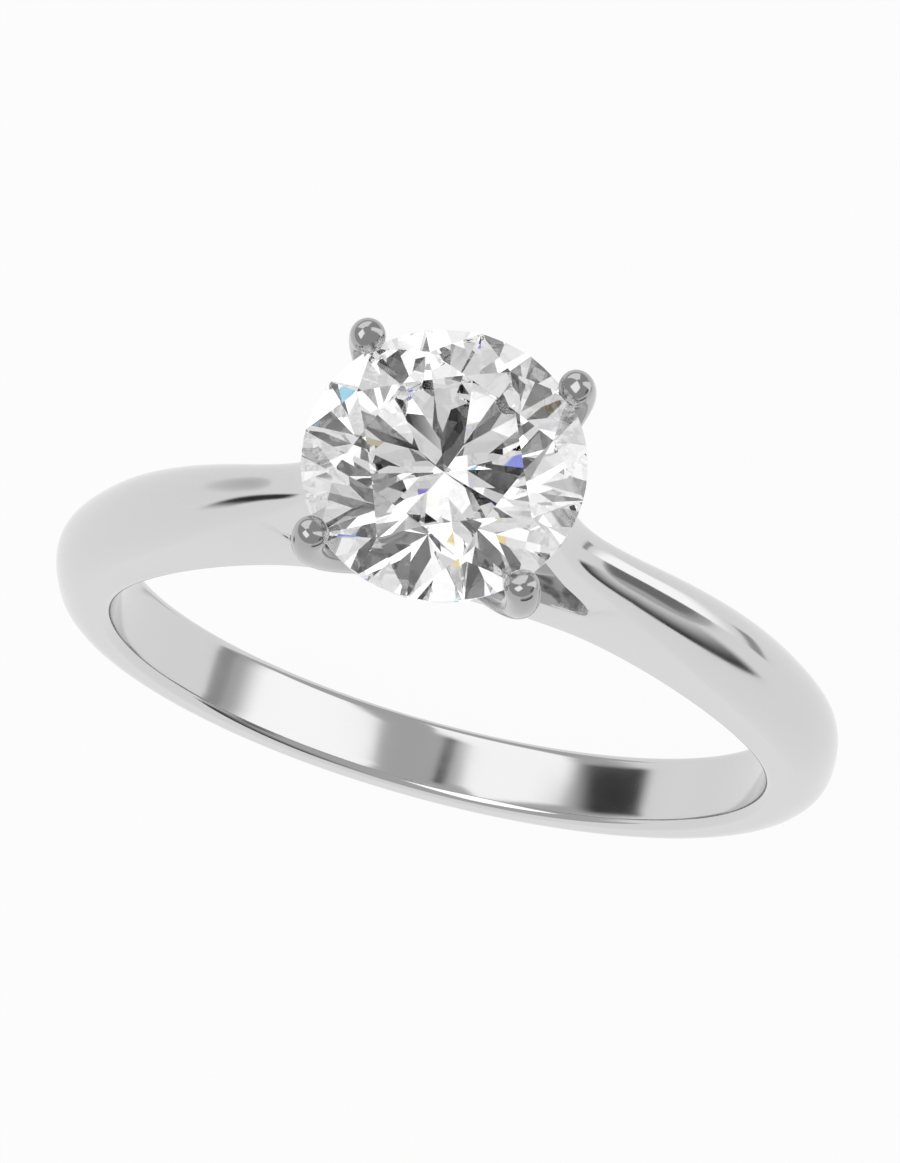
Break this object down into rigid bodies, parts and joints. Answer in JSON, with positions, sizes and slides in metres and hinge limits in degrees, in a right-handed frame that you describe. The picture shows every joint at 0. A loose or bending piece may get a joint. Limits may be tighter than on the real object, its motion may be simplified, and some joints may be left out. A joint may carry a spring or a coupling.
{
  "type": "engagement ring",
  "caption": "Cathedral solitaire ring: round brilliant in a claw head, arched shoulders rising from a half-round band.",
  "frame": {"origin": "centre of the finger hole, in the middle of the band's width", "axes": "+Y along the finger, +Z from the finger towards the stone, +X across the ring from shoulder to shoulder"},
  "size_m": [0.0206, 0.0066, 0.0278],
  "materials": {
    "white_gold": "rhodium plated white gold, mirror polished",
    "diamond": "polished facets"
  },
  "bodies": {
    "root": {"shank": "white_gold", "shoulder_left": "white_gold", "shoulder_right": "white_gold", "base_collet": "white_gold", "head_peg": "white_gold", "gallery_rail": "white_gold", "claw_front_left": "white_gold", "claw_front_right": "white_gold", "claw_back_left": "white_gold", "claw_back_right": "white_gold", "centre_stone": "diamond"}
  },
  "joints": []
}
